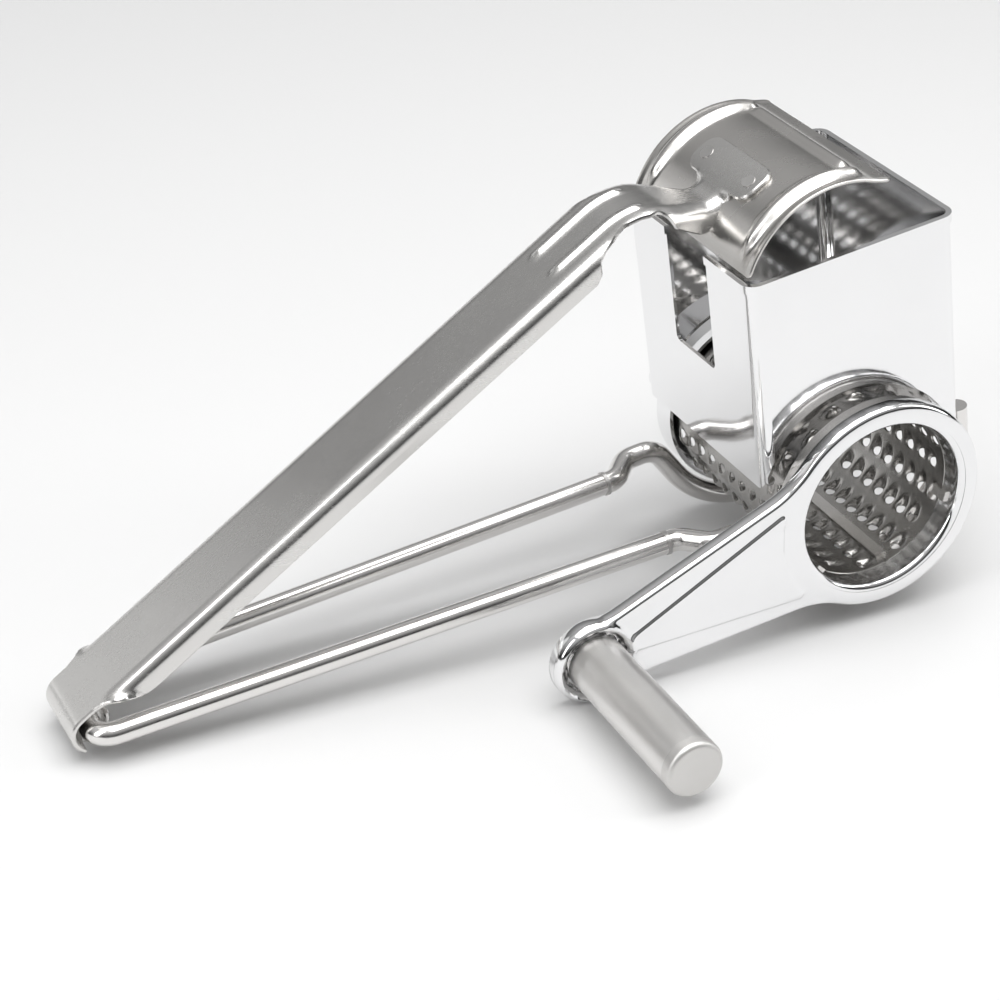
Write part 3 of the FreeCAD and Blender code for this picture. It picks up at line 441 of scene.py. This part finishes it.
def bent_profile(start, degrees, moves):
    """Dense middle line of a bent sheet: distance, x, z and heading, from runs and bends."""
    rows = [(0.0, start[0], start[1], math.radians(degrees))]
    for move in moves:
        s, x, z, a = rows[-1]
        if move[0] == "run":
            count = max(2, int(move[1] / 0.25))
            for i in range(1, count + 1):
                d = move[1] * i / count
                rows.append((s + d, x + d * math.cos(a), z + d * math.sin(a), a))
        else:
            turn, radius = math.radians(move[1]), move[2]
            way = math.copysign(1, turn)
            count = max(3, int(abs(turn) * radius / 0.25))
            cx, cz = x - way * radius * math.sin(a), z + way * radius * math.cos(a)
            for i in range(1, count + 1):
                b = a + turn * i / count
                d = abs(turn) * radius * i / count
                rows.append((s + d, cx + way * radius * math.sin(b), cz - way * radius * math.cos(b), b))
    return np.array(rows).T


def press_plate():
    radius = PLATE_R - PLATE_SHEET / 2
    t = math.radians(PLATE_FROM)
    start = (ARCH[0] + radius * math.cos(t), ARCH[1] + radius * math.sin(t))
    moves = [("bend", -PLATE_TURN, radius), ("bend", 10.0, 5.0), ("run", 3.4)]
    s, x, z, a = bent_profile(start, PLATE_FROM - 90, moves)

    def surface(u, v, h):
        px, pz, pa = (np.interp(u, s, q) for q in (x, z, a))
        return np.stack([px - h * np.sin(pa), MID_Y + v, pz + h * np.cos(pa)], 1)

    def height(u, v):
        w = np.abs(v)
        reach = 1.1 + 1.7 * smooth(u, 2.0, 12.0) * (1 - 0.6 * smooth(u, 24.0, 36.0))
        rib = hump((w - (PLATE_HALF - RIB_IN)) / reach, 1.0) ** 0.8
        rib = rib * smooth(u, 2.0, 8.0) * (1 - smooth(u, 34.5, 37.5))
        cross = hump(u - 34.6, 2.3) ** 0.7 * (1 - smooth(w, 16.5, 20.0))
        border = BORDER_RISE * smooth(w, PLATE_HALF - 1.6, PLATE_HALF - 0.9)
        return np.maximum(RIB_RISE * rib, CROSS_RISE * cross) + border

    loop = corner_round([
        (0, -PLATE_HALF, 1.2), (s[-1], -PLATE_HALF, 1.6), (s[-1], PLATE_HALF, 1.6), (0, PLATE_HALF, 1.2)
    ], 15)
    verts, faces = stamped([resample(loop, 0.7)], 0.62, surface, height, PLATE_SHEET, 0.2)
    build("press_arch", verts, faces, LEAN, "lever", "plate_satin", ["press_plate"])


# ------------------------------------------------------------------ press lever
LEVER_SHEET = 1.2
CURL_R = 4.4
CURL_TURN = 250
PEAK = (-38.2, 76.0)
PEAK_R = 18.0
DIP_R = 5.6
DESCENT = 20
FOOT_R = 24.6
FOOT_LENGTH = 10.0
FOOT_HALF = 12.3
FOOT_AT = 116.8
BEAD_AT, BEAD_RISE = 4.4, 0.75


def lever_profile():
    """Middle line of the lever, distance 0 where the curl meets the straight."""
    reach = math.hypot(PEAK[0] - HINGE[0], PEAK[1] - HINGE[1])
    rise = math.atan2(PEAK[1] - HINGE[1], PEAK[0] - HINGE[0])
    angle = rise - math.asin(CURL_R / reach)
    line = math.sqrt(reach**2 - CURL_R**2)
    foot_a = math.radians(FOOT_AT) + FOOT_LENGTH / 2 / FOOT_R
    foot = (ARCH[0] + FOOT_R * math.cos(foot_a), ARCH[1] + FOOT_R * math.sin(foot_a))
    back = (math.cos(foot_a - math.pi / 2), math.sin(foot_a - math.pi / 2))
    down = (math.cos(math.radians(-DESCENT)), math.sin(math.radians(-DESCENT)))
    gap = (foot[0] - PEAK[0], foot[1] - PEAK[1])
    cross = down[0] * back[1] - down[1] * back[0]
    fall = (gap[0] * back[1] - gap[1] * back[0]) / cross
    climb = (foot[0] - PEAK[0] - down[0] * fall) / back[0]
    turn_peak = -(math.degrees(angle) + DESCENT)
    turn_dip = math.degrees(foot_a - math.pi / 2) + DESCENT
    trim_peak = PEAK_R * math.tan(math.radians(-turn_peak / 2))
    trim_dip = DIP_R * math.tan(math.radians(turn_dip / 2))
    curl = math.radians(CURL_TURN)
    start_a = math.radians(90) + angle + curl
    start = (HINGE[0] + CURL_R * math.cos(start_a), HINGE[1] + CURL_R * math.sin(start_a))
    moves = [
        ("bend", -CURL_TURN, CURL_R),
        ("run", line - trim_peak),
        ("bend", turn_peak, PEAK_R),
        ("run", fall - trim_peak - trim_dip),
        ("bend", turn_dip, DIP_R),
        ("run", climb - trim_dip),
        ("bend", -math.degrees(FOOT_LENGTH / FOOT_R), FOOT_R),
    ]
    s, x, z, a = bent_profile(start, math.degrees(start_a) - 90, moves)
    return s - CURL_R * curl, x, z, a


def lever():
    s, x, z, a = lever_profile()
    end = s[-1]
    foot = end - FOOT_LENGTH
    outline = [
        (s[0], 4.5), (-9.6, 4.5), (-9.0, 6.0), (-9.0, 9.0), (3.5, 9.0), (6.0, 9.7), (8.0, 11.0),
        (10.5, 12.0), (14.5, 14.1), (17.0, 14.35), (141.6, 14.35), (143.6, 13.2), (144.8, 10.9),
        (147.0, 10.0), (150.0, 9.3), (153.5, 8.2), (158.0, 8.1), (160.0, 8.3), (162.6, 7.8),
        (164.2, 8.8), (167.0, 11.0), (foot - 6.0, 10.8), (foot - 2.2, 8.4), (foot - 0.8, 6.9),
        (foot + 0.4, 6.9), (foot + 0.5, FOOT_HALF), (end, FOOT_HALF),
    ]
    corners = []
    for u, w in outline:
        radius = 0
        if 3 < u < foot - 1.5:
            radius = 1.2
        if w == FOOT_HALF:
            radius = 3.4
        corners.append((u, -w, radius))
    corners += [(u, -w, r) for u, w, r in reversed(corners)]
    loop = resample(corner_round(corners, 12), 0.6)

    def bend_at(u):
        """Half width of the flat, bend radius and full bend angle of the section."""
        neck = smooth(u, 150, 158)
        c = 7.8 - 1.4 * neck - 3.6 * smooth(u, 161, foot - 2)
        r = 2.4 + 0.8 * smooth(u, 160, 166)
        channel = smooth(u, 6.5, 15.0) * (1 - smooth(u, 146.5, 152))
        flank = 0.55 * smooth(u, 148, 154) * (1 - smooth(u, 160, 164))
        wing = smooth(u, 161, 166.5) * (1 - smooth(u, foot - 3.5, foot + 0.3))
        most = math.pi / 2 * np.maximum(channel, np.maximum(0.5 * flank, 0.94 * wing))
        return c, r, most

    def surface(u, v, h):
        px, pz, pa = (np.interp(u, s, q) for q in (x, z, a))
        c, r, most = bend_at(u)
        w = np.abs(v)
        t = np.maximum(w - c, 0)
        turned = np.minimum(t / r, most)
        straight = t - turned * r
        across = np.minimum(w, c) + r * np.sin(turned) + straight * np.cos(turned)
        fall = r * (1 - np.cos(turned)) + straight * np.sin(turned)
        across = across + h * np.sin(turned)
        up = h * np.cos(turned) - fall
        side = np.sign(v)
        return np.stack([px - up * np.sin(pa), MID_Y + side * across, pz + up * np.cos(pa)], 1)

    def height(u, v):
        w = np.abs(np.abs(v) - BEAD_AT)
        bead = hump(w, 1.25) ** 0.7 * smooth(u, 134.8, 138.0) * (1 - smooth(u, 158.6, 160.6))
        return BEAD_RISE * bead

    verts, faces = stamped([loop], 0.8, surface, height, LEVER_SHEET, 0.32)
    build("press_arm", verts, faces, LEAN, "lever", "brushed_sheet", ["press_lever"], 40)


# ------------------------------------------------------------------ crank plate
CRANK_LENGTH = 74.9
BOSS_R = 10.0
RING_R = 25.3
BORE_R = 20.0
ARM_HALF = (7.6, 15.6)
ROOT_X = 23.0
ROOT_FILLET, NECK_FILLET = 22.0, 8.0
CRANK_SHEET = 0.9
ROLL_R = 1.1
PANEL_RISE = 0.5
BOSS_BEAD_R, BOSS_BEAD_RISE = 8.9, 0.75
DISH_R, DISH_DEPTH = 7.7, 2.0


def crank_loop(step=1.0):
    """Outline of ring, arm and boss as (x, z) points."""
    rise = (ARM_HALF[1] - ARM_HALF[0]) / (CRANK_LENGTH - ROOT_X)
    along = np.array([1.0, rise]) / math.hypot(1, rise)
    normal = np.array([-along[1], along[0]])
    start = np.array([-CRANK_LENGTH, ARM_HALF[0]])

    def fillet(centre, radius, size, sign):
        gap = start + normal * size - centre
        b = gap @ along
        root = math.sqrt(b * b - gap @ gap + (radius + size) ** 2)
        on_line = start + along * (-b + sign * root)
        middle = on_line + normal * size
        on_circle = middle + (centre - middle) / np.linalg.norm(centre - middle) * size
        return on_line, middle, on_circle

    def arc(centre, a, b, way):
        r = np.linalg.norm(a - centre)
        t0 = math.atan2(*(a - centre)[::-1])
        t1 = math.atan2(*(b - centre)[::-1])
        turn = (t1 - t0) % (2 * math.pi)
        if way < 0:
            turn -= 2 * math.pi
        count = max(2, int(abs(turn) * r / step))
        t = t0 + turn * np.arange(count) / count
        return [centre + r * np.array([math.cos(q), math.sin(q)]) for q in t]

    boss = np.array([-CRANK_LENGTH, 0.0])
    root = fillet(np.zeros(2), RING_R, ROOT_FILLET, -1)
    neck = fillet(boss, BOSS_R, NECK_FILLET, 1)
    flip = np.array([1.0, -1.0])
    points = arc(np.zeros(2), root[2] * flip, root[2], 1)
    points += arc(root[1], root[2], root[0], -1)
    points += [root[0] + (neck[0] - root[0]) * i / 40 for i in range(40)]
    points += arc(neck[1], neck[0], neck[2], -1)
    points += arc(boss, neck[2], neck[2] * flip, 1)
    points += arc(neck[1] * flip, neck[2] * flip, neck[0] * flip, -1)
    points += [(neck[0] + (root[0] - neck[0]) * i / 40) * flip for i in range(40)]
    points += arc(root[1] * flip, root[0] * flip, root[2] * flip, -1)
    return np.array(points)


def crank_plate():
    loop = crank_loop()
    if area_of(loop) < 0:
        loop = loop[::-1]
    a = np.linspace(0, 2 * math.pi, 145)[:-1]
    mouth_r = BORE_R + 1.6
    mouth = np.stack([mouth_r * np.cos(a), mouth_r * np.sin(a)], 1)
    panel = corner_round([
        (-66.9, -1.7, 1.5), (-66.9, 1.7, 1.5), (-23.6, 12.0, 0.8), (-25.2, 8.0, 3), (-26.3, 3.0, 6),
        (-26.3, -3.0, 6), (-25.2, -8.0, 3), (-23.6, -12.0, 0.8),
    ], 10)

    def face(u, v):
        """Front surface, towards the knob, above the plate's plane."""
        p = np.stack([u, v], 1)
        inward = distance(p, [panel]) * np.where(inside(p, [panel]), 1, -1)
        h = PANEL_RISE * smooth(inward, -0.4, 0.4)
        boss = np.hypot(u + CRANK_LENGTH, v)
        h = h + BOSS_BEAD_RISE * hump(boss - BOSS_BEAD_R, 1.35)
        h = h - DISH_DEPTH * smooth(-boss, -DISH_R, 0.5 - DISH_R)
        ring = np.hypot(u, v)
        return h + 0.25 * hump(ring - 23.0, 2.4) * smooth(u, -30, -14)

    insets = [0.12, 0.35, 0.7, ROLL_R]
    steps = []
    for amount in (-0.45, -0.15, 0.15, 0.45):
        steps.append(resample(offset(resample(panel, 0.6), amount), 0.7))
    plan, tris, _ = mesh_plan([loop, mouth], 0.75, insets, steps)
    u, v = plan.T
    edge = distance(plan, [loop])
    rolled = ROLL_R - np.sqrt(np.maximum(ROLL_R**2 - (ROLL_R - edge) ** 2, 0))
    fall = np.where(edge < ROLL_R, rolled, 0)
    front = np.stack([u, fall - face(u, v), v], 1)
    verts = [front]
    faces = tris.tolist()
    start = len(front)
    rows = [(0.0, ROLL_R), (0.0, 3.3), (0.15, 3.55), (0.45, 3.6), (0.75, 3.55), (0.9, 3.3), (0.9, 1.3)]
    n = len(loop)
    for inset, depth in rows:
        ring = offset(loop, inset) if inset else loop
        verts.append(np.stack([ring[:, 0], np.full(n, depth), ring[:, 1]], 1))
    for k in range(len(rows) - 1):
        for i in range(n):
            j = (i + 1) % n
            p, q = start + k * n, start + (k + 1) * n
            faces.append((p + i, p + j, q + j, q + i))
    back_start = start + len(rows) * n
    keep = edge > 0.85
    back = np.stack([u, np.maximum(CRANK_SHEET, CRANK_SHEET - face(u, v)), v], 1)
    verts.append(back)
    faces += [tuple(back_start + i for i in t[::-1]) for t in tris.tolist() if keep[t].all()]
    sheet = (np.concatenate(verts), faces)
    lip = [
        (mouth_r, 0.0), (BORE_R + 1.1, 0.1), (BORE_R + 0.6, 0.35), (BORE_R + 0.25, 0.75),
        (BORE_R + 0.05, 1.3), (BORE_R, 2.0), (BORE_R, 5.75), (BORE_R + 0.2, 5.9),
        (BORE_R + 0.8, 5.9), (BORE_R + 0.8, 1.6), (mouth_r, CRANK_SHEET),
    ]
    mouth_lip = revolve(lip, (0.0, 0.0))
    build("crank_arm", *joined(sheet, mouth_lip), CRANK, "drum", "polished_crank", ["crank_plate"], 50)


drum()
press_plate()
lever()
crank_plate()


# ------------------------------------------------------------------ floor, light, camera
# Area lights: where, aimed at, size in metres, power in watts.
LIGHTS = {
    "top_box": ((0.05, -0.1, 0.95), (0.02, 0.02, 0.03), (1.1, 0.9), 10.5),
    "left_box": ((-0.9, -0.25, 0.55), (0, 0, 0.04), (0.25, 0.9), 3.2),
    "right_box": ((0.95, -0.35, 0.5), (0.05, 0, 0.05), (0.25, 0.8), 2.5),
    "back_sweep": ((0.1, 1.35, 0.2), (0, 0, 0.1), (3.0, 0.4), 2.8),
    "back_card": ((-0.85, 1.05, 0.45), (-0.1, 0, 0.03), (0.6, 0.5), 0.55),
}
# Greys of the room, from level and below (0) to straight above (1).
ROOM_LOW, ROOM_HIGH = (0.015, 0.015, 0.016, 1), (0.62, 0.62, 0.62, 1)
ROOM_STOPS = ((0.14, 0.02), (0.26, 0.09), (0.42, 0.24), (0.62, 0.44))
FLOOR_GREY, FLOOR_ROUGH = 0.68, 0.7


def area_light(name, at, target, size, power):
    data = bpy.data.lights.new(name, "AREA")
    data.shape = "RECTANGLE"
    data.size, data.size_y = size
    data.energy = power
    light = bpy.data.objects.new(name, data)
    light.location = at
    light.rotation_euler = (Vector(target) - Vector(at)).to_track_quat("-Z", "Y").to_euler()
    bpy.context.scene.collection.objects.link(light)


def studio():
    bpy.ops.mesh.primitive_plane_add(size=8)
    floor = bpy.context.object
    floor.name = "floor"
    mat = bpy.data.materials.new("floor")
    mat.use_nodes = True
    bsdf = mat.node_tree.nodes["Principled BSDF"]
    bsdf.inputs["Base Color"].default_value = (FLOOR_GREY, FLOOR_GREY, FLOOR_GREY, 1)
    bsdf.inputs["Roughness"].default_value = FLOOR_ROUGH
    floor.data.materials.append(mat)
    world = bpy.data.worlds.new("studio")
    bpy.context.scene.world = world
    world.use_nodes = True
    tree = world.node_tree
    coords = tree.nodes.new("ShaderNodeTexCoord")
    split = tree.nodes.new("ShaderNodeSeparateXYZ")
    tree.links.new(coords.outputs["Generated"], split.inputs["Vector"])
    ramp = tree.nodes.new("ShaderNodeValToRGB")
    tree.links.new(split.outputs["Z"], ramp.inputs["Fac"])
    stops = ramp.color_ramp.elements
    stops[0].position, stops[0].color = 0.0, ROOM_LOW
    stops[1].position, stops[1].color = 1.0, ROOM_HIGH
    for position, grey in ROOM_STOPS:
        stop = stops.new(position)
        stop.color = (grey, grey, grey, 1)
    background = tree.nodes["Background"]
    tree.links.new(ramp.outputs["Color"], background.inputs["Color"])
    background.inputs["Strength"].default_value = 1.0
    for name, values in LIGHTS.items():
        area_light(name, *values)
    bpy.context.scene.view_settings.view_transform = "Standard"


# The camera stands in the grater's own frame, in millimetres, and looks in the standing frame.
CAMERA_AT = (-245.76, -395.50, 326.19)
CAMERA_RIGHT = (0.89776, -0.44050, -0.00274)
CAMERA_FORWARD = (0.37734, 0.77220, -0.51120)
SENSOR, LENS = 36.0, 90.85


def camera():
    data = bpy.data.cameras.new("camera")
    data.sensor_width = SENSOR
    data.lens = LENS
    data.clip_start = 0.01
    cam = bpy.data.objects.new("camera", data)
    right = Vector(CAMERA_RIGHT).normalized()
    forward = Vector(CAMERA_FORWARD).normalized()
    up = right.cross(forward).normalized()
    right = forward.cross(up)
    matrix = Matrix((right, up, -forward)).transposed().to_4x4()
    matrix.translation = place([CAMERA_AT], LEAN)[0]
    cam.matrix_world = matrix
    bpy.context.scene.collection.objects.link(cam)
    bpy.context.scene.camera = cam


studio()
camera()
